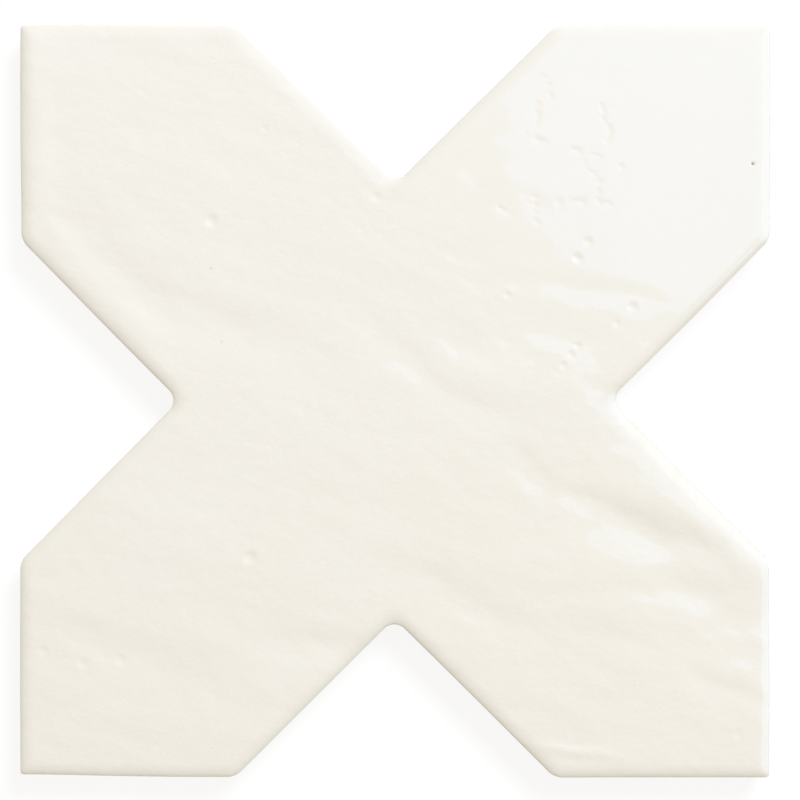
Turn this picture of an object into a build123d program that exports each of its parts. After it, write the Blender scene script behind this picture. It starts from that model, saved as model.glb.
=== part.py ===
from build123d import *
import os
from math import ceil, hypot, sqrt

# Cross tile of a star-and-cross floor, pressed and fired as one piece of porcelain.
# Its outline has sixteen sides, equal but for the room for the joint: four pointed arms reach into
# the corners of a square, and a right-angled notch in each side takes one point of a star tile.
# The tile lies on its back. The ribs of the back are on z = 0, and the glazed face is up.

# Driving dimensions, in millimetres and degrees
tile_width = 132.5          # side of the square that the cross fills
tile_thickness = 9.0        # from the ribs of the back to the glazed face
arris_width = 2.6           # soft edge between the glazed face and the sides, a quarter of an ellipse
arris_depth = 0.9           # fall of the face over the soft edge
shoulder_face_radius = 0.7  # rounding left on the face where a notch opens, inside the soft edge
notch_relief = 0.5          # each side of a notch stands back by this, to make room for the joint
notch_root_radius = 2.5     # bottom of each notch
tip_radius = 0.6            # upright edge at the point of each arm
back_bevel = 0.6            # bevel round the back, which keeps chips out of the joint
key_pocket = 9.0            # width of a pocket pressed into the back, as a key for the adhesive
key_rib = 2.0               # rib between two pockets
key_rim = 4.0               # plain margin between the pockets and the sides
key_depth = 0.7             # depth of the pockets
key_draft_angle = 25.0      # slope of the pocket walls, which lets the punch leave the clay
key_least_share = 0.35      # part of a pocket that the rim may leave, below which it isn't pressed
cut_overrun = 1.0           # how far a cut runs on past the solid, less than the notch root radius
tolerance = 1e-6            # two distances that differ by less are the same

# Sizes that follow from sixteen equal sides
half_width = tile_width / 2
equal_side = tile_width / (2 + sqrt(2))                 # also the distance from the centre to a notch
notch_root = equal_side - notch_relief * sqrt(2)        # from the centre to the sharp bottom of a notch
notch_half_mouth = half_width - notch_root
shoulder_radius = shoulder_face_radius + arris_width
key_pitch = key_pocket + key_rib
quarter_turns = [0, 90, 180, 270]


def cross_face(inset=0.0):
    """The cross with sharp corners, its sides moved inwards by inset."""
    edge = half_width - inset
    root = notch_root - inset * sqrt(2)
    mouth = edge - root
    quarter = [(edge, mouth), (edge, edge), (mouth, edge), (0, root)]
    corners = [Vector(*point).rotate(Axis.Z, turn) for turn in quarter_turns for point in quarter]
    return Polygon(*corners, align=None)


def round_corners(face, distance, radius):
    """Rounds the corners of a face that lie at one distance from the centre."""
    corners = [corner for corner in face.vertices() if abs(hypot(corner.X, corner.Y) - distance) < tolerance]
    return fillet(corners, radius)


def arris_cut():
    """What the soft edge takes off the blank along a notch and its two sides, from point to point."""
    end = half_width + cut_overrun
    turning_points = [(notch_half_mouth, half_width), (0, notch_root), (-notch_half_mouth, half_width)]
    radii = [shoulder_radius, notch_root_radius, shoulder_radius]
    path = FilletPolyline((end, half_width), *turning_points, (-end, half_width), radius=radii)
    edge = EllipticalCenterArc((arris_width, -arris_depth), arris_width, arris_depth, 90, arc_size=90)
    top_corner = (arris_width, cut_overrun)
    outer_corners = [(-cut_overrun, cut_overrun), (-cut_overrun, -arris_depth)]
    section = make_face(edge + Polyline(edge @ 0, top_corner, *outer_corners, edge @ 1))
    start = Plane((end, half_width, tile_thickness), x_dir=(0, -1, 0), z_dir=(-1, 0, 0))
    return sweep(start * section, path=path)


def pressed_blank():
    """The plain tile: soft glazed edge, rounded notches and points, bevelled back."""
    outline = round_corners(cross_face(), notch_root, notch_root_radius)
    outline = round_corners(outline, hypot(notch_half_mouth, half_width), shoulder_radius)
    blank = extrude(outline, tile_thickness)
    blank -= [arris_cut().rotate(Axis.Z, turn) for turn in quarter_turns]
    blank = chamfer(blank.edges().group_by(Axis.Z)[0], back_bevel)
    rounded_points = round_corners(outline, half_width * sqrt(2), tip_radius)
    return blank & extrude(rounded_points, tile_thickness)


def key_pockets():
    """The pockets of the back: a square grid with ribs on both axes, cut off at the rim."""
    field = cross_face(key_rim)
    count = 2 * ceil(half_width / key_pitch)
    pockets = []
    for place in GridLocations(key_pitch, key_pitch, count, count):
        mouth = field & (place * Rectangle(key_pocket, key_pocket))
        if mouth and mouth.area > key_least_share * key_pocket**2:
            pockets.append(extrude(mouth, key_depth, dir=(0, 0, 1), taper=key_draft_angle))
    return pockets


def cross_tile():
    """The whole tile, with its keyed back."""
    return pressed_blank() - key_pockets()


os.makedirs("parts", exist_ok=True)
export_step(cross_tile(), "parts/cross_tile.step")
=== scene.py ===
"""Looks of a porcelain cross tile: an uneven ivory glaze over a pressed porcelain body.

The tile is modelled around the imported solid, in metres and in the solid's own frame.
"""
import math

import bmesh
import bpy
import numpy as np
from bpy.props import FloatProperty, FloatVectorProperty, PointerProperty
from mathutils import Matrix, Vector, noise


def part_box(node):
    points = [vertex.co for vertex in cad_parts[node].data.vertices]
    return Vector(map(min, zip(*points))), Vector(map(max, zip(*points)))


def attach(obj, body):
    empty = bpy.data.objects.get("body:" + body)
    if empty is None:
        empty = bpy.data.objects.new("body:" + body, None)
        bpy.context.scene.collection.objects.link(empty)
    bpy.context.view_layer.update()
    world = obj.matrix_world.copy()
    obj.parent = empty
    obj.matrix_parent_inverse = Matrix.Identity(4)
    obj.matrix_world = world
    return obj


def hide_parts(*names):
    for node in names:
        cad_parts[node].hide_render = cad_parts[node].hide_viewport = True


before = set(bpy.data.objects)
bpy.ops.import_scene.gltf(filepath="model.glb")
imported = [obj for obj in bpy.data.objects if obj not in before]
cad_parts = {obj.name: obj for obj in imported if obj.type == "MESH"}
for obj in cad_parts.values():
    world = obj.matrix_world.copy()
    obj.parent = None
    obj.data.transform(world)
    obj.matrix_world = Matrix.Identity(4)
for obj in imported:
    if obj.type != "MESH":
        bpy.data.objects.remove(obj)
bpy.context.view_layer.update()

bl_info = {
    "name": "Porcelain Cross Tile",
    "version": (1, 0, 0),
    "blender": (4, 5, 0),
    "location": "3D View > Sidebar > Tile",
    "description": "Models a glazed porcelain cross tile and the studio stage around it",
    "category": "Object",
}

MM = 0.001
CAD_NODE = "cross_tile"
TILE_LOW, TILE_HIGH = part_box(CAD_NODE)

# Material slots and vertex attributes of the tile
GLAZED, BARE = 0, 1
ATTRIBUTES = ("rim", "speck", "calm")

# Mesh: distances in metres, angle of a sharp edge in degrees, counts, and normal Z of a downward face
SAME_PLACE = 1e-6
SLIVER = 5e-6
LONG_EDGE = 10 * MM
SHARP_ANGLE = 35.0
ROOT_SEGMENTS = 8
SHOULDER_SEGMENTS = 6
TIP_SEGMENTS = 3
ARRIS_RINGS = 9
FINE_CUTS = 2
DOWNWARD = -0.9

# The sixteen corners of a fired tile stand a little off the true cross. One row for each quarter,
# from east round by north: shoulder, point of the arm, shoulder, root of the notch. Millimetres.
CORNER_SHIFTS = [
    [(-0.4, 0.3), (-0.3, -0.3), (0.0, -0.4), (0.0, 0.0)],
    [(0.0, -0.3), (0.3, -0.1), (0.5, 0.1), (0.1, 0.1)],
    [(0.3, 0.0), (0.3, 0.6), (0.0, 0.1), (-0.2, -0.2)],
    [(-0.2, 0.0), (-0.5, 0.03), (-0.5, 0.0), (-0.3, 0.3)],
]

# How far round a corner its own shift holds, and how far inwards the drift fades out, in metres
DRIFT_REACH = 6 * MM
DRIFT_FADE = 12 * MM

# Strokes of the hand in the clay: points, half width to the left and to the right, and depth,
# in millimetres. A ridge has a depth below zero.
STROKES = [
    ([(-6.8, 16.6), (3.2, 6.0), (9.3, 0.7), (17.2, -1.9), (27.2, -3.8)], 2.1, 3.0, 0.23),
    ([(-1.0, 15.5), (6.0, 10.0), (12.0, 5.6), (22.0, 2.0)], 2.0, 1.6, -0.08),
    ([(0.6, 13.8), (9.6, 10.2), (18.4, 11.2), (27.2, 10.6), (40.6, 8.0)], 3.5, 5.0, 0.14),
    ([(15.4, 22.2), (29.8, 20.1), (38.6, 19.2), (48.0, 16.8)], 1.5, 2.2, 0.10),
    ([(-58.5, 35.0), (-49.2, 23.6), (-40.4, 17.2), (-31.9, 13.6), (-20.6, 10.0), (-8.0, 6.0)],
     3.4, 5.0, 0.36),
    ([(29.0, -16.6), (38.0, -20.2), (44.0, -22.6), (50.0, -24.8), (61.0, -28.6)], 2.8, 4.0, 0.74),
    ([(34.0, -31.4), (45.0, -33.0), (51.7, -33.6), (62.0, -34.4)], 4.0, 2.2, 0.24),
    ([(43.0, -29.8), (51.0, -33.0), (59.0, -35.2), (78.0, -37.3)], 4.8, 12.0, 0.54),
    ([(30.0, -41.0), (44.0, -41.8), (60.0, -41.2)], 2.0, 2.5, 0.08),
    ([(20.0, -33.6), (40.0, -34.0), (68.0, -33.8)], 1.4, 1.6, 0.07),
    ([(-10.0, -28.0), (3.3, -30.4), (7.7, -32.0), (12.0, -34.0), (18.2, -38.2), (29.0, -43.0)],
     2.6, 3.6, 0.28),
    ([(-29.0, -41.4), (-15.0, -43.0), (0.0, -44.4)], 2.4, 3.2, 0.28),
    ([(-70.0, -38.8), (-51.8, -41.6), (-47.4, -44.0), (-41.3, -46.4), (-38.6, -48.6), (-22.0, -51.6)],
     4.4, 5.4, 0.36),
    ([(17.6, -5.3), (23.7, -12.7), (27.3, -16.1), (36.4, -19.0)], 2.4, 2.8, 0.24),
    ([(49.0, -47.4), (57.0, -50.4), (69.0, -55.0)], 2.1, 2.4, 0.22),
    ([(24.0, -60.4), (31.0, -62.0), (36.0, -61.6), (44.0, -63.0)], 0.8, 0.8, -0.2),
    ([(-63.2, 76.0), (-62.4, 31.0), (-52.4, 20.4), (-41.4, 8.6), (-39.0, -6.0)], 2.4, 2.8, -0.24),
]

# Sides that sagged in the kiln: two points along the side, width and depth, in millimetres.
# Where the edge stayed crisp the depth is below zero.
SAGS = [
    ((33.0, 5.0), (73.0, -35.0), 3.0, 0.62),
    ((37.6, 1.2), (72.5, 36.1), 0.8, -0.10),
    ((0.4, 36.6), (36.0, 72.4), 0.8, -0.06),
]

# Waves in the face: length along the strokes and across them in millimetres, share of the height, seed
WAVES = [(40.0, 12.0, 1.0, 3.7), (12.0, 5.0, 0.42, 8.1), (5.0, 3.0, 0.28, 5.3), (2.6, 1.7, 0.2, 7.7)]

# Direction of the waves, in degrees from +X
STROKE_TURN = -18.0

# Sway that bends strokes and pits out of true: size of its waves in millimetres, a seed for X and one
# for Y, and how far it moves a stroke and a pit, in millimetres
SWAY_SIZE = 7.0
SWAY_SEEDS = (1.5, 6.5)
STROKE_SWAY = 0.9
PIT_SWAY = 0.3

# Strokes break up: length of these waves along and across in millimetres, seed, and share of the depth
BREAK_WAVE = (9.0, 5.0, 2.9)
BREAK_SHARE = 0.3

# Where the glaze lies thick and smooth: middle, radius and half the width of its border, in millimetres
CALM_PLACE = (52.0, 53.0)
CALM_RADIUS = 44.0
CALM_FADE = 8.0

# Round pits left by grit and gas: place, radius and depth, in millimetres
PITS = [
    ((33.8, 28.0), 1.15, 0.16),
    ((32.0, 25.2), 1.1, 0.20),
    ((41.7, 16.4), 1.2, 0.19),
    ((39.0, 13.6), 0.9, 0.13),
    ((32.0, 9.7), 0.9, 0.15),
    ((30.9, 8.2), 0.9, 0.14),
    ((29.6, 6.2), 0.9, 0.12),
    ((19.7, 18.6), 0.9, 0.10),
    ((28.8, 35.0), 1.2, 0.05),
    ((39.6, 41.3), 0.8, 0.06),
    ((-3.4, 35.8), 1.2, 0.14),
    ((-5.9, 30.0), 0.9, 0.06),
    ((-32.3, 31.7), 1.5, 0.19),
    ((-22.9, 47.9), 0.9, 0.09),
    ((-25.6, -27.6), 1.6, 0.22),
    ((54.2, 35.4), 0.5, 0.03),
    ((45.5, 40.1), 0.5, 0.03),
    ((63.0, 41.6), 0.5, 0.20),
    ((-61.9, -43.9), 1.2, 0.09),
    ((-54.8, -46.0), 1.4, 0.11),
    ((-48.3, -45.5), 1.2, 0.10),
    ((60.5, -58.4), 1.2, 0.08),
]

# Fine creases where the glaze drew together: the points of each, in millimetres
CREASES = [
    [(25.5, 57.2), (26.7, 56.0)],
    [(26.6, 54.6), (27.0, 53.8)],
    [(24.9, 52.1), (25.0, 50.7), (24.6, 49.0)],
    [(23.4, 47.5), (24.8, 45.9), (26.2, 45.3)],
    [(36.2, 51.7), (36.5, 49.7), (37.6, 48.3), (37.6, 47.0), (36.9, 45.5)],
    [(30.3, 44.2), (32.4, 43.8)],
    [(34.4, 43.8), (35.5, 43.2)],
    [(33.2, 41.7), (34.9, 40.2), (35.8, 39.0), (35.6, 36.7), (35.8, 34.8), (37.4, 34.6)],
    [(31.1, 35.1), (32.9, 35.0)],
    [(24.4, 35.6), (24.9, 32.8), (25.0, 31.5)],
    [(22.7, 36.1), (23.6, 35.3)],
    [(18.3, 34.0), (19.5, 33.1)],
]

# Creases, in millimetres
CREASE_HALF_WIDTH = 0.6
CREASE_DEPTH = 0.045

# Creases come and go in blots: length of these waves along and across in millimetres, seed,
# contrast, and the largest factor on the depth
BLOT_WAVE = (1.6, 1.1, 4.4)
BLOT_CONTRAST = 2.0
BLOT_MOST = 2.0

# Dark specks fired into the glaze: place and radius in millimetres, strength
SPECKS = [((63.0, 41.6), 0.34, 0.75), ((-32.4, 23.3), 0.22, 0.35), ((-30.5, 10.4), 0.2, 0.25)]

# The lower border of the glaze wanders, and the glaze thins at the rim, whose colour also holds a painted
# shade on the soft edge. Metres.
GLAZE_LINE_WAVE = 11 * MM
GLAZE_LINE_RISE = 0.9 * MM
RIM_WIDTH = 2.5 * MM

# Textures: sizes in metres, the grain's turn in degrees, and the part of each noise that is used
CLOUD_SIZE = 0.03
CLOUD_DETAIL = 5.0
CLOUD_RANGE = (0.35, 0.65)
GRAIN_SIZE = 0.0015
GRAIN_DETAIL = 3.0
GRAIN_STRETCH = 1.4
GRAIN_TURN = 35.0
FLECK_RANGE = (0.42, 0.58)
DUST_SIZE = 0.0016
DUST_DETAIL = 2.0
DUST_RANGE = (0.62, 0.72)
NOISE_ROUGHNESS = 0.62

# Finishes: dull ground under the clear surface of the glaze, bare body with its grain against the
# glaze's and the strength of its dust, and floor
GROUND_ROUGHNESS = 0.9
CLEAR_IOR = 1.5
BODY_ROUGHNESS = 0.85
BODY_GRAIN = 2.0
BODY_DUST = 0.28
FLOOR_ROUGHNESS = 0.9
WHITE = (1.0, 1.0, 1.0)

# Spacing of the nodes in the shader editor
NODE_STEP = 200

# Floor, in metres
FLOOR_RADIUS = 3.0
FLOOR_SEGMENTS = 96
FLOOR_GAP = 0.00001


def length_setting(name, description, default):
    """A property for a size in metres."""
    return FloatProperty(name=name, description=description, default=default, min=0.0, precision=5,
                         unit="LENGTH")


def offset_setting(name, description, default):
    """A property for a shift in metres, to either side."""
    return FloatProperty(name=name, description=description, default=default, precision=5, unit="LENGTH")


def angle_setting(name, description, degrees):
    """A property for an angle."""
    return FloatProperty(name=name, description=description, default=math.radians(degrees), subtype="ANGLE")


def share_setting(name, description, default):
    """A property for a share from 0 to 1."""
    return FloatProperty(name=name, description=description, default=default, min=0.0, max=1.0,
                         subtype="FACTOR")


def level_setting(name, description, default):
    """A property for a level of light."""
    return FloatProperty(name=name, description=description, default=default, min=0.0)


def color_setting(name, description, default):
    """A property for a colour in linear light."""
    return FloatVectorProperty(name=name, description=description, default=default, min=0.0, max=1.0,
                               subtype="COLOR")


class TileSizes(bpy.types.PropertyGroup):
    """Sizes of the pressed tile."""
    width: length_setting("Width", "Side of the square that the cross fills", TILE_HIGH.x - TILE_LOW.x)
    thickness: length_setting("Thickness", "From the ribs of the back to the glazed face",
                              TILE_HIGH.z - TILE_LOW.z)
    notch_relief: length_setting("Notch relief", "How far each side of a notch stands back for the joint",
                                 0.5 * MM)
    root_radius: length_setting("Root radius", "Rounding at the bottom of a notch", 2.5 * MM)
    shoulder_radius: length_setting("Shoulder radius", "Rounding where a notch opens", 3.3 * MM)
    tip_radius: length_setting("Tip radius", "Rounding of the upright edge at the point of an arm", 0.6 * MM)
    arris_width: length_setting("Arris width", "Width of the soft edge of the glazed face", 2.6 * MM)
    arris_depth: length_setting("Arris depth", "Fall of the face over the soft edge", 0.9 * MM)
    back_bevel: length_setting("Back bevel", "Bevel round the back", 0.6 * MM)
    glaze_line: length_setting("Glaze line", "Height at which the glaze ends on the sides", 5.2 * MM)
    glaze_film: length_setting("Glaze film", "How far the glaze stands proud of the bare sides", 0.12 * MM)
    cell: length_setting("Cell", "Spacing of the mesh on the glazed face", 0.55 * MM)


class BackSizes(bpy.types.PropertyGroup):
    """Sizes of the key that is pressed into the back."""
    pocket: length_setting("Pocket", "Width of a pocket", 9.0 * MM)
    rib: length_setting("Rib", "Width of the rib between two pockets", 2.0 * MM)
    rim: length_setting("Rim", "Plain margin between the pockets and the sides", 4.0 * MM)
    depth: length_setting("Depth", "Depth of a pocket", 0.7 * MM)
    draft: angle_setting("Draft", "Slope of the pocket walls", 25)
    least_share: share_setting("Least share", "Smallest part of a pocket that is pressed", 0.35)


class FinishSettings(bpy.types.PropertyGroup):
    """Colours and relief of the glaze and of the bare porcelain."""
    glaze: color_setting("Glaze", "Colour of the ivory glaze", (0.915, 0.888, 0.826))
    glaze_deep_and_shaded: color_setting("Glaze, deep and shaded", "Colour where the glaze lies thick, and of the painted shade towards -Y", (0.893, 0.859, 0.772))
    glaze_rim_and_shaded: color_setting("Glaze at rim, shaded", "Colour at the rim, where little glaze covers the body, darkened as painted shade on the soft edge", (0.865, 0.836, 0.755))
    body: color_setting("Body", "Colour of the bare porcelain", (0.80, 0.76, 0.68))
    body_dark: color_setting("Body, dark", "Colour of the bare porcelain's stains", (0.69, 0.64, 0.55))
    speck: color_setting("Speck", "Colour of dark specks", (0.13, 0.11, 0.08))
    rim_shade_share: share_setting("Rim", "How far the rim takes its colour of sparse glaze and painted shade", 1.0)
    painted_shade_share: share_setting("Painted shade", "How far the colour darkens towards -Y as painted shade", 0.7)
    calm_share: share_setting("Calm", "How far thick glaze evens out the waves and the grain", 0.8)
    flecks: share_setting("Flecks", "Share of the clear surface that is left in dull flecks", 0.45)
    gloss: share_setting("Gloss", "Roughness of the glaze's clear surface", 0.035)
    wave: length_setting("Wave", "Height of the waves that the hand leaves in the face", 0.16 * MM)
    grain: length_setting("Grain", "Height of the fine grain under the glaze", 0.064 * MM)


class StudioSettings(bpy.types.PropertyGroup):
    """Camera, lamps and floor."""
    frame_width: length_setting("Frame width", "Width of the picture at the glazed face", 140.4 * MM)
    frame_right: offset_setting("Frame right", "Picture's middle, right of the tile's", 0.82 * MM)
    frame_up: offset_setting("Frame up", "Picture's middle, above the tile's", 0.18 * MM)
    lens: FloatProperty(name="Lens", description="Focal length of the camera", default=120.0, min=1.0,
                        unit="CAMERA")
    key_share: level_setting("Key", "Light of the low lamp on the face", 0.613)
    key_turn: angle_setting("Key turn", "Direction of the low lamp, from +X", 58)
    key_rise: angle_setting("Key rise", "Height of the low lamp over the floor", 52)
    key_distance: length_setting("Key distance", "From the low lamp to the face", 1.75)
    key_size: length_setting("Key size", "Side of the low lamp", 0.56)
    key_tint: color_setting("Key tint", "Colour of the low lamp", (0.756, 0.829, 1.0))
    softbox_place: FloatVectorProperty(name="Softbox place", description="From the middle of the face",
                                       size=3, default=(0.306, 0.15, 0.9), unit="LENGTH")
    softbox_width: length_setting("Softbox width", "Extent of the oval softbox along X", 0.508)
    softbox_depth: length_setting("Softbox depth", "Extent of the oval softbox along Y", 0.3)
    softbox_tint: color_setting("Softbox tint", "Colour of the softbox", (0.1, 0.48, 1.0))
    softbox_radiance: level_setting("Softbox", "Brightness of the softbox", 1.1)
    panel_turn: angle_setting("Panel turn", "Direction of the side panel, from +X", 6)
    panel_rise: angle_setting("Panel rise", "Height of the side panel over the floor", 31)
    panel_distance: length_setting("Panel distance", "From the side panel to the face", 1.0)
    panel_width: length_setting("Panel width", "Level side of the side panel", 1.0)
    panel_depth: length_setting("Panel depth", "Other side of the side panel", 1.13)
    panel_tint: color_setting("Panel tint", "Colour of the side panel", (0.35, 0.62, 1.0))
    panel_radiance: level_setting("Panel", "Brightness of the side panel", 2.5)
    strip_right: offset_setting("Strip right", "Middle of the strip lamp along X, from the tile's", 0.18)
    strip_rise: angle_setting("Strip rise", "Height of the strip lamp over the floor, on the +Y side", 42.5)
    strip_distance: length_setting("Strip distance", "From the strip lamp to the face", 1.0)
    strip_width: length_setting("Strip width", "Level side of the strip lamp", 0.24)
    strip_depth: length_setting("Strip depth", "Other side of the strip lamp", 1.27)
    strip_tint: color_setting("Strip tint", "Colour of the strip lamp", (0.0, 0.3, 1.0))
    strip_radiance: level_setting("Strip", "Brightness of the strip lamp", 0.75)
    fill: level_setting("Fill", "Brightness of the room", 0.545)
    fill_tint: color_setting("Fill tint", "Colour of the room's light", (1.0, 0.919, 0.738))
    floor: color_setting("Floor", "Colour of the floor", (0.9, 0.9, 0.9))
    floor_glow: share_setting("Floor glow", "Share of the floor's own light in the picture", 0.82)
    floor_strength: level_setting("Floor strength", "Level of that light", 1.043)


def arris_rings(tile, count):
    """Inward step and rise from ring to ring over the soft edge, a quarter of an ellipse."""
    turns = [math.pi / 2 * ring / count for ring in range(count + 1)]
    ins = [tile.arris_width * (1 - math.cos(turn)) for turn in turns]
    ups = [tile.arris_depth * math.sin(turn) for turn in turns]
    return [(ins[k + 1] - ins[k], ups[k + 1] - ups[k]) for k in range(count)]


def equal_side(tile):
    """Length of each of the sixteen sides, before the notches stand back for the joint."""
    return tile.width / (2 + math.sqrt(2))


def notch_root(tile):
    """Distance from the centre to the sharp bottom of a notch."""
    return equal_side(tile) - tile.notch_relief * math.sqrt(2)


def cross_corners(tile, inset=0.0):
    """Four corners in a row, a quarter of the cross, with its sides moved inwards by inset."""
    edge = tile.width / 2 - inset
    root = notch_root(tile) - inset * math.sqrt(2)
    return [(edge, edge - root), (edge, edge), (edge - root, edge), (0.0, root)]


def add_cross(bm, tile, height, inset=0.0):
    """A sharp-cornered cross as one face, spun from a quarter of its outline."""
    quarter = cross_corners(tile, inset)
    first_of_next = (-quarter[0][1], quarter[0][0])
    verts = [bm.verts.new((x, y, height)) for x, y in [*quarter, first_of_next]]
    edges = [bm.edges.new(pair) for pair in zip(verts, verts[1:])]
    bmesh.ops.spin(bm, geom=verts + edges, axis=(0, 0, 1), cent=(0, 0, 0), angle=2 * math.pi, steps=4,
                   use_duplicate=True, use_merge=True)
    loose = [vert for vert in bm.verts if not vert.link_faces]
    bmesh.ops.remove_doubles(bm, verts=loose, dist=SAME_PLACE)
    loop = [edge for edge in bm.edges if not edge.link_faces]
    return bmesh.ops.contextual_create(bm, geom=loop)["faces"][0]


def round_corners(bm, face, distance, setback, segments):
    """Rounds the corners of a face that lie at one distance from the centre."""
    corners = [vert for vert in face.verts if abs(vert.co.xy.length - distance) < SAME_PLACE]
    bmesh.ops.bevel(bm, geom=corners, offset=setback, offset_type="OFFSET", segments=segments, profile=0.5,
                    affect="VERTICES", material=-1)


def operator_faces(geom):
    """The faces in what a bmesh operator gives back."""
    return [item for item in geom if isinstance(item, bmesh.types.BMFace)]


def with_borders(faces):
    """Faces with their edges and corners, as the cutting operators take them."""
    edges = dict.fromkeys(edge for face in faces for edge in face.edges)
    verts = dict.fromkeys(vert for face in faces for vert in face.verts)
    return [*faces, *edges, *verts]


def slice_faces(bm, faces, direction, places):
    """Cuts faces by parallel planes, in rising order, and gives back all the slices."""
    waiting = list(faces)
    done = []
    for place in places:
        cut = bmesh.ops.bisect_plane(bm, geom=with_borders(waiting), plane_co=direction * place,
                                     plane_no=direction)
        pieces = operator_faces(cut["geom"])
        waiting = [face for face in pieces if face.calc_center_bounds().dot(direction) > place]
        done += [face for face in pieces if face.calc_center_bounds().dot(direction) <= place]
    return done + waiting


def drop_face(bm, face, distance):
    """Extrudes a face straight down, and gives back the face at the lower end."""
    grown = bmesh.ops.extrude_face_region(bm, geom=[face])["geom"]
    moved = [item for item in grown if isinstance(item, bmesh.types.BMVert)]
    bmesh.ops.translate(bm, verts=moved, vec=(0, 0, -distance))
    return operator_faces(grown)[0]


def inset_face(bm, face, inward, outward=0.0):
    """Rings a face with an even margin and moves what is left along its normal."""
    bmesh.ops.inset_region(bm, faces=[face], use_boundary=True, use_even_offset=True, thickness=inward,
                           depth=outward)


def press_key(bm, tile, back, face):
    """Presses the pockets of the back into a face: a square grid with ribs on both axes."""
    rim_loop = list(face.edges)
    bmesh.ops.delete(bm, geom=[face], context="FACES_ONLY")
    field = add_cross(bm, tile, 0.0, back.rim)
    bmesh.ops.bridge_loops(bm, edges=rim_loop + list(field.edges))
    pitch = back.pocket + back.rib
    count = math.ceil(tile.width / 2 / pitch)
    places = [pitch * step + side * back.rib / 2 for step in range(-count, count + 1) for side in (-1, 1)]
    strips = slice_faces(bm, [field], Vector((1, 0, 0)), places)
    cells = slice_faces(bm, strips, Vector((0, 1, 0)), places)
    bmesh.ops.recalc_face_normals(bm, faces=bm.faces)

    def off_rib(across):
        return abs(across - pitch * round(across / pitch)) > back.rib / 2

    least_area = back.least_share * back.pocket**2
    middles = [(cell, cell.calc_center_bounds()) for cell in cells if cell.calc_area() > least_area]
    pockets = [cell for cell, middle in middles if off_rib(middle.x) and off_rib(middle.y)]
    bmesh.ops.inset_individual(bm, faces=pockets, use_even_offset=True,
                               thickness=back.depth * math.tan(back.draft), depth=-back.depth)


def model_blank(bm, tile, back):
    """The pressed tile with its soft edge, glaze line, sides and keyed back. Gives back the glazed face."""
    root = notch_root(tile)
    shoulder = math.hypot(tile.width / 2, tile.width / 2 - root)
    shoulder_setback = tile.shoulder_radius * math.tan(math.pi / 8)
    top = add_cross(bm, tile, tile.thickness - tile.arris_depth)
    for distance, setback, segments in [(root, tile.root_radius, ROOT_SEGMENTS),
                                        (shoulder, shoulder_setback, SHOULDER_SEGMENTS)]:
        round_corners(bm, top, distance, setback, segments)
        # The bevel makes the face anew
        bm.faces.ensure_lookup_table()
        top = bm.faces[0]
    lower = drop_face(bm, top, tile.thickness - tile.arris_depth - tile.glaze_line)
    bmesh.ops.recalc_face_normals(bm, faces=bm.faces)
    for inward, rise in arris_rings(tile, ARRIS_RINGS):
        inset_face(bm, top, inward, rise)
    glazed = list(bm.faces)
    glazed.remove(lower)
    inset_face(bm, lower, tile.glaze_film)
    bed = drop_face(bm, lower, tile.glaze_line - tile.back_bevel)
    # The extrusion leaves the old face inside the tile
    bmesh.ops.delete(bm, geom=[lower], context="FACES_ONLY")
    bmesh.ops.recalc_face_normals(bm, faces=bm.faces)
    inset_face(bm, bed, tile.back_bevel, tile.back_bevel)
    for face in bm.faces:
        face.material_index = BARE
    for face in glazed:
        face.material_index = GLAZED
    press_key(bm, tile, back, bed)
    round_tips(bm, tile, shoulder)
    return divide_sides(bm, tile)


def round_tips(bm, tile, shoulder):
    """Rounds the upright edge and the mitre at the point of each arm."""
    def at_tip(vert):
        return abs(abs(vert.co.x) - abs(vert.co.y)) < SAME_PLACE and vert.co.xy.length > shoulder

    mitres = [edge for edge in bm.edges if all(at_tip(vert) for vert in edge.verts)]
    mitres = [edge for edge in mitres if max(vert.co.z for vert in edge.verts) > SAME_PLACE]
    bmesh.ops.bevel(bm, geom=mitres, offset=tile.tip_radius, offset_type="OFFSET", segments=TIP_SEGMENTS,
                    profile=0.5, affect="EDGES", material=-1)


def divide_sides(bm, tile):
    """Divides the long edges of the sides and of the soft edge, and gives back the glazed face."""
    top = max(bm.faces, key=lambda face: face.calc_center_median().z)
    bmesh.ops.delete(bm, geom=[top], context="FACES_ONLY")
    middles = np.array([face.calc_center_median().xy for face in bm.faces])
    outer = rim_distance(middles, tile) < tile.arris_width
    sides = [face for face, near in zip(bm.faces, outer) if near and face.normal.z > DOWNWARD]
    edges = dict.fromkeys(edge for face in sides for edge in face.edges)
    lengths = [edge for edge in edges if edge.calc_length() > LONG_EDGE]
    cuts = round(equal_side(tile) / tile.cell)
    bmesh.ops.subdivide_edges(bm, edges=lengths, cuts=cuts, use_grid_fill=True)
    rim = [edge for edge in bm.edges if edge.is_boundary]
    return bmesh.ops.contextual_create(bm, geom=rim)["faces"][0]


def refine(bm, tile):
    """Divides the glazed face more finely where pits, specks and creases are."""
    spots = [(place, radius) for place, radius, depth in PITS]
    spots += [(place, radius) for place, radius, strength in SPECKS]
    marks = [(Vector(place) * MM, Vector(place) * MM, radius * MM) for place, radius in spots]
    for crease in CREASES:
        points = [Vector(point) * MM for point in crease]
        marks += [(start, end, CREASE_HALF_WIDTH * MM) for start, end in zip(points, points[1:])]
    verts = [vert for vert in bm.verts if vert.co.z > tile.thickness - tile.arris_depth / 2]
    plan = np.array([vert.co.xy for vert in verts])
    near = np.zeros(len(verts), dtype=bool)
    for start, end, reach in marks:
        near |= segment_distance(plan, np.array(start), np.array(end)) < 2 * reach + tile.cell
    chosen = {vert for vert, wanted in zip(verts, near) if wanted}
    edges = [edge for edge in bm.edges if all(vert in chosen for vert in edge.verts)]
    bmesh.ops.subdivide_edges(bm, edges=edges, cuts=FINE_CUTS, use_grid_fill=True)


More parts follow.
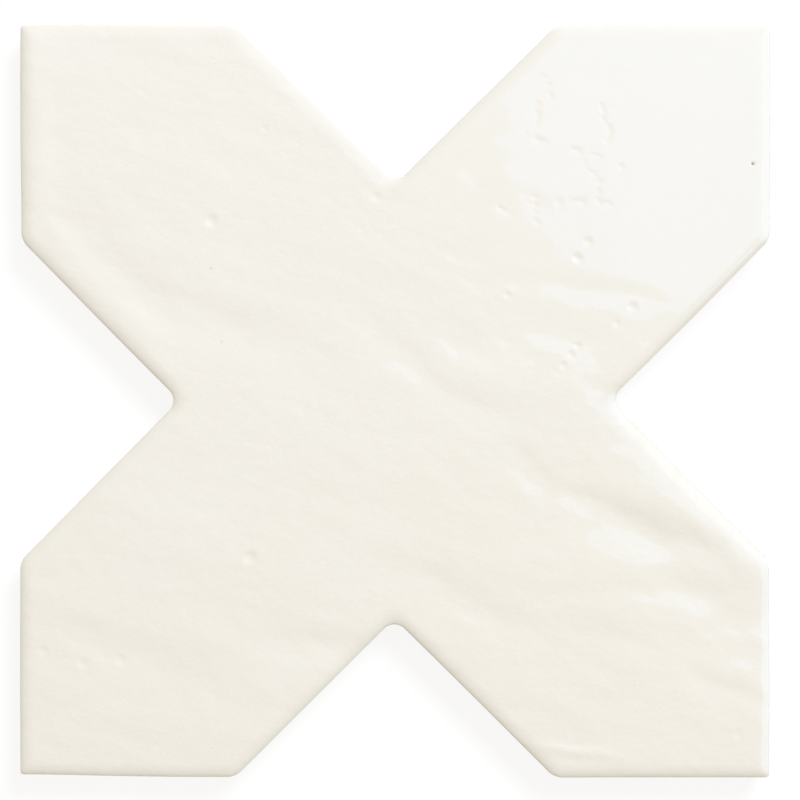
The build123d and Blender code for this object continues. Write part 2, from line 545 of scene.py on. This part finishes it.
def segment_distance(plan, start, end):
    """Distance of points in plan from a straight piece, or from a point where both ends are one."""
    along = end - start
    share = np.clip((plan - start) @ along / max(along @ along, SAME_PLACE**2), 0.0, 1.0)
    return np.linalg.norm(plan - start - share[:, None] * along, axis=1)


def rim_distance(plan, tile):
    """Distance of points in plan from the outline of the true cross."""
    far = np.abs(plan).max(axis=1)
    near = np.abs(plan).min(axis=1)
    return np.minimum(tile.width / 2 - far, (notch_root(tile) - (far - near)) / math.sqrt(2))


def soft_step(values, low, high):
    """Rises from 0 at low to 1 at high, with soft ends."""
    share = np.clip((values - low) / (high - low), 0.0, 1.0)
    return share * share * (3 - 2 * share)


def waves(plan, along, across, seed):
    """Noise drawn out along the strokes of the hand, from -1 to 1. Its lengths are in millimetres."""
    turn = math.radians(STROKE_TURN)
    lengthways = (plan @ (math.cos(turn), math.sin(turn))) / (along * MM)
    crossways = (plan @ (-math.sin(turn), math.cos(turn))) / (across * MM)
    return np.array([noise.noise(Vector((u, v, seed))) for u, v in zip(lengthways, crossways)])


def stroke_shape(plan, points):
    """How far points in plan lie to the left of a bent stroke, and its strength, which fades to its ends."""
    pieces = np.linalg.norm(np.diff(points, axis=0), axis=1)
    starts = np.concatenate([[0.0], np.cumsum(pieces)])
    nearest = np.full(len(plan), np.inf)
    strength = np.zeros(len(plan))
    for start, end, before, own in zip(points, points[1:], starts, pieces):
        far = segment_distance(plan, start, end)
        along = (plan - start) @ (end - start) / own**2
        aside = (plan - start) @ (start[1] - end[1], end[0] - start[0])
        place = (before + np.clip(along, 0.0, 1.0) * own) / starts[-1]
        closer = far < np.abs(nearest)
        strength = np.where(closer, 4 * place * (1 - place), strength)
        nearest = np.where(closer, np.copysign(far, aside), nearest)
    return nearest, strength


def face_relief(plan, finish):
    """Height of the uneven glaze over the plan, in metres, never above zero."""
    calm = 1 - finish.calm_share * calmness(plan)
    height = calm * sum(finish.wave * share * waves(plan, along, across, seed)
                        for along, across, share, seed in WAVES)
    sway = np.stack([waves(plan, SWAY_SIZE, SWAY_SIZE, seed) for seed in SWAY_SEEDS], axis=1)
    swayed = plan + sway * STROKE_SWAY * MM
    breaks = 1 + BREAK_SHARE * waves(plan, *BREAK_WAVE)
    for points, left, right, depth in STROKES:
        far, strength = stroke_shape(swayed, np.array(points) * MM)
        far = far / np.where(far > 0, left * MM, right * MM)
        height -= depth * MM * strength * breaks * np.exp(-far**2)
    for start, end, width, depth in SAGS:
        far, strength = stroke_shape(plan, np.array([start, end]) * MM)
        height -= depth * MM * strength * np.exp(-(far / (width * MM))**2)
    for place, radius, depth in PITS:
        far = np.linalg.norm(plan + sway * PIT_SWAY * MM - np.array(place) * MM, axis=1) / (radius * MM)
        height -= depth * MM * np.clip(1 - far**2, 0.0, 1.0)**2
    blots = np.clip(1 + BLOT_CONTRAST * waves(plan, *BLOT_WAVE), 0.0, BLOT_MOST)
    for crease in CREASES:
        points = np.array(crease) * MM
        far = np.min([segment_distance(plan, *ends) for ends in zip(points, points[1:])], axis=0)
        height -= CREASE_DEPTH * MM * blots * np.exp(-(far / (CREASE_HALF_WIDTH * MM))**2)
    return height - height.max()


def calmness(plan):
    """1 on the arm where the glaze lies thick and smooth, and 0 outside it."""
    far = np.linalg.norm(plan - np.array(CALM_PLACE) * MM, axis=1)
    return 1 - soft_step(far, (CALM_RADIUS - CALM_FADE) * MM, (CALM_RADIUS + CALM_FADE) * MM)


def speck_strength(plan):
    """How dark the specks are over the plan, from 0 to 1."""
    speck = np.zeros(len(plan))
    for place, radius, strength in SPECKS:
        far = np.linalg.norm(plan - np.array(place) * MM, axis=1)
        speck = np.maximum(speck, strength * (1 - soft_step(far, radius * MM / 2, radius * MM)))
    return speck


def corner_drift(plan, tile, fade):
    """Sideways shift of the sides, from the shifts of the sixteen corners. It fades out inwards."""
    quarter = cross_corners(tile)
    corners = []
    shifts = []
    for turn, row in enumerate(CORNER_SHIFTS):
        spin = Matrix.Rotation(math.pi / 2 * turn, 2)
        corners += [spin @ Vector(corner) for corner in quarter]
        shifts += [Vector(shift) * MM for shift in row]
    gaps = np.linalg.norm(plan[:, None, :] - np.array(corners)[None, :, :], axis=2)
    weights = 1 / (gaps**2 + DRIFT_REACH**2)
    drift = weights @ np.array(shifts) / weights.sum(axis=1, keepdims=True)
    return drift * (1 - soft_step(rim_distance(plan, tile), 0.0, fade))[:, None]


def fire(bm, tile, back, finish):
    """Moves the vertices as the hand and the kiln do: relief of the face, glaze line, drifting sides."""
    spots = np.array([vert.co for vert in bm.verts])
    plan = spots[:, :2]
    heights = spots[:, 2]
    on_face = soft_step(heights, tile.glaze_line, tile.thickness - tile.arris_depth / 2)
    on_line = np.abs(heights - tile.glaze_line) < SAME_PLACE
    line_wave = np.array([noise.noise(Vector((x, y, 0.0)) / GLAZE_LINE_WAVE) for x, y in plan])
    # Low down, the drift ends within the plain rim, so that the key keeps its shape
    fade = np.where(heights < tile.glaze_line / 2, back.rim, DRIFT_FADE)
    moved = spots.copy()
    moved[:, 2] += on_face * face_relief(plan, finish) + on_line * line_wave * GLAZE_LINE_RISE
    moved[:, :2] += corner_drift(plan, tile, fade)
    for vert, spot in zip(bm.verts, moved):
        vert.co = spot


def model_tile(tile, back, finish):
    """The finished tile as a mesh, with the rim, the dark specks and the calm arm as attributes."""
    bm = bmesh.new()
    face = model_blank(bm, tile, back)
    face.material_index = GLAZED
    count = math.floor(tile.width / 2 / tile.cell)
    places = [tile.cell * step for step in range(-count, count + 1)]
    strips = slice_faces(bm, [face], Vector((1, 0, 0)), places)
    slice_faces(bm, strips, Vector((0, 1, 0)), places)
    bmesh.ops.remove_doubles(bm, verts=bm.verts, dist=SLIVER)
    refine(bm, tile)
    needless = [vert for vert in bm.verts if len(vert.link_edges) == 2]
    bmesh.ops.dissolve_verts(bm, verts=needless)
    plan = np.array([vert.co.xy for vert in bm.verts])
    rim = 1 - soft_step(rim_distance(plan, tile), 0.0, RIM_WIDTH)
    fire(bm, tile, back, finish)
    bmesh.ops.recalc_face_normals(bm, faces=bm.faces)
    for face in bm.faces:
        face.smooth = True
    mesh = bpy.data.meshes.new("glazed_tile")
    bm.to_mesh(mesh)
    bm.free()
    for name, values in zip(ATTRIBUTES, (rim, speck_strength(plan), calmness(plan))):
        mesh.attributes.new(name, "FLOAT", "POINT").data.foreach_set("value", values)
    mesh.set_sharp_from_angle(angle=math.radians(SHARP_ANGLE))
    return mesh


def feed(tree, socket, value):
    """Sets a socket, or links it where the value is another socket."""
    if isinstance(value, bpy.types.NodeSocket):
        tree.links.new(value, socket)
    elif socket.type == "RGBA":
        socket.default_value = (*value, 1.0)
    else:
        socket.default_value = value


def add_node(tree, kind, inputs=None, **settings):
    """A node with its settings, and with its inputs set or linked."""
    node = tree.nodes.new(kind)
    node.location.x = NODE_STEP * len(tree.nodes)
    for name, value in settings.items():
        setattr(node, name, value)
    for key, value in (inputs or {}).items():
        feed(tree, node.inputs[key], value)
    return node


def mix_color(tree, share, first, second):
    """The blend of two colours, as a socket."""
    node = add_node(tree, "ShaderNodeMix", {0: share, 6: first, 7: second}, data_type="RGBA")
    return node.outputs[2]


def mix_value(tree, share, first, second):
    """The blend of two values, as a socket."""
    return add_node(tree, "ShaderNodeMix", {0: share, 2: first, 3: second}).outputs[0]


def combine(tree, operation, first, second):
    """Two values brought together by a Math node, as a socket."""
    return add_node(tree, "ShaderNodeMath", {0: first, 1: second}, operation=operation).outputs[0]


def noise_value(tree, vector, size, detail):
    """A noise over a vector in metres, as a socket. Its features are about as large as size."""
    inputs = {"Vector": vector, "Scale": 1 / size, "Detail": detail, "Roughness": NOISE_ROUGHNESS}
    return add_node(tree, "ShaderNodeTexNoise", inputs, noise_dimensions="3D").outputs["Fac"]


def ranged(tree, value, low, high, to_low=0.0, to_high=1.0):
    """A value carried from one range to another, as a socket."""
    inputs = {"Value": value, "From Min": low, "From Max": high, "To Min": to_low, "To Max": to_high}
    return add_node(tree, "ShaderNodeMapRange", inputs).outputs["Result"]


def kiln_and_shade_group():
    """Shared unevenness of fired clay: clouds and dust for the colour, a fine slanted grain, and a painted
    shade that darkens the colour towards -Y.
    """
    group = bpy.data.node_groups.new("Kiln unevenness and painted shade", "ShaderNodeTree")
    group.interface.new_socket("Vector", in_out="INPUT", socket_type="NodeSocketVector")
    for name in ("Cloud", "Grain", "Dust", "Painted shade"):
        group.interface.new_socket(name, in_out="OUTPUT", socket_type="NodeSocketFloat")
    vector = add_node(group, "NodeGroupInput").outputs["Vector"]
    turn = (0.0, 0.0, math.radians(GRAIN_TURN))
    slant = {"Vector": vector, "Rotation": turn, "Scale": (1.0, GRAIN_STRETCH, 1.0)}
    slanted = add_node(group, "ShaderNodeMapping", slant).outputs["Vector"]
    cloud = ranged(group, noise_value(group, vector, CLOUD_SIZE, CLOUD_DETAIL), *CLOUD_RANGE)
    grain = noise_value(group, slanted, GRAIN_SIZE, GRAIN_DETAIL)
    dust = ranged(group, noise_value(group, vector, DUST_SIZE, DUST_DETAIL), *DUST_RANGE)
    # Painted shade: a ramp that darkens the colour from +Y to -Y, where the light falls off across the face
    northing = add_node(group, "ShaderNodeSeparateXYZ", {"Vector": vector}).outputs["Y"]
    painted_shade = ranged(group, northing, TILE_HIGH.y, TILE_LOW.y)
    add_node(group, "NodeGroupOutput", {"Cloud": cloud, "Grain": grain, "Dust": dust, "Painted shade": painted_shade})
    return group


def new_material(name):
    """An empty node material, with its tree and the kiln's unevenness and painted shade over object
    coordinates.
    """
    material = bpy.data.materials.new(name)
    material.use_nodes = True
    tree = material.node_tree
    tree.nodes.clear()
    group = bpy.data.node_groups.get("Kiln unevenness and painted shade") or kiln_and_shade_group()
    place = add_node(tree, "ShaderNodeTexCoord").outputs["Object"]
    kiln = add_node(tree, "ShaderNodeGroup", node_tree=group)
    feed(tree, kiln.inputs["Vector"], place)
    return material, tree, kiln.outputs


def bump(tree, height, distance):
    """A normal from a height, as a socket."""
    inputs = {"Height": height, "Distance": distance, "Strength": 1.0}
    return add_node(tree, "ShaderNodeBump", inputs).outputs["Normal"]


def finish_material(tree, inputs):
    """Ends a material's tree with its shader."""
    shader = add_node(tree, "ShaderNodeBsdfPrincipled", inputs)
    add_node(tree, "ShaderNodeOutputMaterial", {"Surface": shader.outputs["BSDF"]})


def glaze_material(finish):
    """Ivory glaze: a clear surface over dull grain, warmer and darker at the rim, where the glaze is sparse
    and a painted shade lies on the soft edge, darker towards -Y as painted shade, and with dark specks.
    """
    material, tree, kiln = new_material("Ivory glaze")
    readers = [add_node(tree, "ShaderNodeAttribute", attribute_name=name) for name in ATTRIBUTES]
    rim, speck, calm = (reader.outputs["Fac"] for reader in readers)
    # The deeper colour follows the clouds and, mostly, the painted shade towards -Y
    depth = mix_value(tree, finish.painted_shade_share, kiln["Cloud"], kiln["Painted shade"])
    base = mix_color(tree, depth, finish.glaze, finish.glaze_deep_and_shaded)
    # The rim's colour: sparse glaze, and a painted shade that darkens the soft edge all round
    rim_tint_and_shade = ranged(tree, rim, 0.0, 1.0, 0.0, finish.rim_shade_share)
    warmed = mix_color(tree, rim_tint_and_shade, base, finish.glaze_rim_and_shaded)
    marked = mix_color(tree, speck, warmed, finish.speck)
    rough = ranged(tree, calm, 0.0, 1.0, 1.0, 1.0 - finish.calm_share)
    grain = combine(tree, "MULTIPLY", kiln["Grain"], rough)
    flecks = ranged(tree, kiln["Grain"], *FLECK_RANGE, finish.flecks, 1.0)
    off_rim = ranged(tree, rim, 0.0, 1.0, 1.0, 0.0)
    flecked = combine(tree, "MULTIPLY", rough, off_rim)
    coat = mix_value(tree, flecked, 1.0, flecks)
    finish_material(tree, {
        "Base Color": marked,
        "Roughness": GROUND_ROUGHNESS,
        "Specular IOR Level": 0.0,
        "Coat Weight": coat,
        "Coat Roughness": finish.gloss,
        "Coat IOR": CLEAR_IOR,
        "Normal": bump(tree, grain, finish.grain),
    })
    return material


def body_material(finish):
    """Bare porcelain: chalky, stained and dusty."""
    material, tree, kiln = new_material("Bare porcelain")
    base = mix_color(tree, kiln["Cloud"], finish.body, finish.body_dark)
    dust = ranged(tree, kiln["Dust"], 0.0, 1.0, 0.0, BODY_DUST)
    finish_material(tree, {
        "Base Color": mix_color(tree, dust, base, finish.speck),
        "Roughness": BODY_ROUGHNESS,
        "Normal": bump(tree, kiln["Grain"], finish.grain * BODY_GRAIN),
    })
    return material


class TILE_OT_glazed_tile(bpy.types.Operator):
    """Models the tile and its glaze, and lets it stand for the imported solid"""
    bl_idname = "tile.glazed_tile"
    bl_label = "Glazed tile"
    bl_options = {"REGISTER", "UNDO"}

    def execute(self, context):
        scene = context.scene
        mesh = model_tile(scene.tile_sizes, scene.tile_back, scene.tile_finish)
        mesh.materials.append(glaze_material(scene.tile_finish))
        mesh.materials.append(body_material(scene.tile_finish))
        piece = bpy.data.objects.new("glazed_tile", mesh)
        scene.collection.objects.link(piece)
        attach(piece, "root")
        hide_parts(CAD_NODE)
        return {"FINISHED"}


def direction(turn, rise):
    """A unit vector from a turn about Z and a rise over the floor."""
    return Vector((math.cos(rise) * math.cos(turn), math.cos(rise) * math.sin(turn), math.sin(rise)))


def aim(item, place, target):
    """Puts a lamp at a place and turns it to a target."""
    item.location = place
    item.rotation_euler = (target - place).to_track_quat("-Z", "Y").to_euler()


def add_lamp(scene, name, shape, size, power, tint):
    """A flat lamp that the camera doesn't see."""
    light = bpy.data.lights.new(name, "AREA")
    light.shape = shape
    light.size, light.size_y = size
    light.energy = power
    light.color = tint
    lamp = bpy.data.objects.new(name, light)
    lamp.visible_camera = False
    scene.collection.objects.link(lamp)
    return lamp


def add_softbox(scene, name, shape, size, radiance, tint):
    """A lamp that only shows as a reflection in the glaze."""
    lamp = add_lamp(scene, name, shape, size, radiance * math.pi * size[0] * size[1], tint)
    lamp.visible_diffuse = False
    return lamp


def add_lamps(scene, studio, face):
    """The low lamp, which gives no reflection, and the softbox, side panel and strip, which only reflect."""
    power = studio.key_share * (math.pi * studio.key_distance)**2 / math.sin(studio.key_rise)
    key = add_lamp(scene, "key", "RECTANGLE", (studio.key_size, studio.key_size), power, studio.key_tint)
    aim(key, face + direction(studio.key_turn, studio.key_rise) * studio.key_distance, face)
    key.visible_glossy = False
    size = studio.softbox_width, studio.softbox_depth
    softbox = add_softbox(scene, "softbox", "ELLIPSE", size, studio.softbox_radiance, studio.softbox_tint)
    softbox.location = face + Vector(studio.softbox_place)
    size = studio.panel_width, studio.panel_depth
    panel = add_softbox(scene, "panel", "RECTANGLE", size, studio.panel_radiance, studio.panel_tint)
    aim(panel, face + direction(studio.panel_turn, studio.panel_rise) * studio.panel_distance, face)
    size = studio.strip_width, studio.strip_depth
    strip = add_softbox(scene, "strip", "RECTANGLE", size, studio.strip_radiance, studio.strip_tint)
    middle = face + Vector((studio.strip_right, 0.0, 0.0))
    aim(strip, middle + direction(math.pi / 2, studio.strip_rise) * studio.strip_distance, middle)


def add_camera(scene, studio, face):
    """A camera that looks straight down on the face."""
    data = bpy.data.cameras.new("camera")
    data.lens = studio.lens
    camera = bpy.data.objects.new("camera", data)
    distance = studio.frame_width * data.lens / data.sensor_width
    camera.location = (studio.frame_right, studio.frame_up, face.z + distance)
    scene.collection.objects.link(camera)
    scene.camera = camera


def seen_share(tree, share):
    """A share for rays from the camera, straight, by reflection or through glass, and 0 for other rays."""
    path = add_node(tree, "ShaderNodeLightPath").outputs
    seen = combine(tree, "MAXIMUM", path["Is Camera Ray"], path["Is Glossy Ray"])
    seen = combine(tree, "MAXIMUM", seen, path["Is Transmission Ray"])
    return combine(tree, "MULTIPLY", seen, share)


def floor_material(studio):
    """White floor that glows a little in the picture and takes the shadow of the tile."""
    material = bpy.data.materials.new("White floor")
    material.use_nodes = True
    tree = material.node_tree
    tree.nodes.clear()
    seen = seen_share(tree, studio.floor_glow)
    surface = {"Base Color": studio.floor, "Roughness": FLOOR_ROUGHNESS, "Specular IOR Level": 0.0}
    lit = add_node(tree, "ShaderNodeBsdfPrincipled", surface).outputs["BSDF"]
    light = {"Color": WHITE, "Strength": studio.floor_strength}
    glow = add_node(tree, "ShaderNodeEmission", light).outputs["Emission"]
    both = add_node(tree, "ShaderNodeMixShader", {0: seen, 1: lit, 2: glow}).outputs["Shader"]
    add_node(tree, "ShaderNodeOutputMaterial", {"Surface": both})
    return material


def add_floor(scene, studio):
    """A round white floor that keeps the soft shadow of the tile."""
    bm = bmesh.new()
    bmesh.ops.create_circle(bm, cap_ends=True, segments=FLOOR_SEGMENTS, radius=FLOOR_RADIUS)
    bmesh.ops.translate(bm, verts=bm.verts, vec=(0, 0, -FLOOR_GAP))
    mesh = bpy.data.meshes.new("floor")
    bm.to_mesh(mesh)
    bm.free()
    mesh.materials.append(floor_material(studio))
    floor = bpy.data.objects.new("floor", mesh)
    scene.collection.objects.link(floor)


def add_room(scene, studio):
    """A warm room that lights the tile, and is seen as plain white."""
    world = bpy.data.worlds.new("Room")
    world.use_nodes = True
    tree = world.node_tree
    tree.nodes.clear()
    light = tuple(channel * studio.fill for channel in studio.fill_tint)
    tint = mix_color(tree, seen_share(tree, 1.0), light, WHITE)
    glow = add_node(tree, "ShaderNodeBackground", {"Color": tint, "Strength": 1.0})
    add_node(tree, "ShaderNodeOutputWorld", {"Surface": glow.outputs["Background"]})
    scene.world = world


class TILE_OT_stage(bpy.types.Operator):
    """Sets the camera straight above the tile, the lamps, the room and the white floor"""
    bl_idname = "tile.stage"
    bl_label = "Stage"
    bl_options = {"REGISTER", "UNDO"}

    def execute(self, context):
        scene = context.scene
        studio = scene.tile_studio
        face = Vector((0.0, 0.0, scene.tile_sizes.thickness))
        add_floor(scene, studio)
        add_room(scene, studio)
        add_lamps(scene, studio, face)
        add_camera(scene, studio, face)
        scene.view_settings.view_transform = "Standard"
        return {"FINISHED"}


class TILE_PT_sidebar(bpy.types.Panel):
    """Lists the tile's operators and settings"""
    bl_idname = "TILE_PT_sidebar"
    bl_label = "Porcelain Cross Tile"
    bl_space_type = "VIEW_3D"
    bl_region_type = "UI"
    bl_category = "Tile"

    def draw(self, context):
        for operator in OPERATORS:
            self.layout.operator(operator.bl_idname)
        for name, group in SETTINGS.items():
            box = self.layout.box()
            for setting in group.__annotations__:
                box.prop(getattr(context.scene, name), setting)


OPERATORS = (TILE_OT_glazed_tile, TILE_OT_stage)
SETTINGS = {
    "tile_sizes": TileSizes,
    "tile_back": BackSizes,
    "tile_finish": FinishSettings,
    "tile_studio": StudioSettings,
}
CLASSES = (*SETTINGS.values(), *OPERATORS, TILE_PT_sidebar)


def register():
    """Registers the classes, and the settings on the scene."""
    for item in CLASSES:
        bpy.utils.register_class(item)
    for name, group in SETTINGS.items():
        setattr(bpy.types.Scene, name, PointerProperty(type=group))


def unregister():
    """Takes away what register added."""
    for name in SETTINGS:
        delattr(bpy.types.Scene, name)
    for item in reversed(CLASSES):
        bpy.utils.unregister_class(item)


def main():
    """Makes the tile and its stage."""
    register()
    bpy.ops.tile.glazed_tile()
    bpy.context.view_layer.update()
    bpy.ops.tile.stage()


if __name__ == "__main__":
    main()
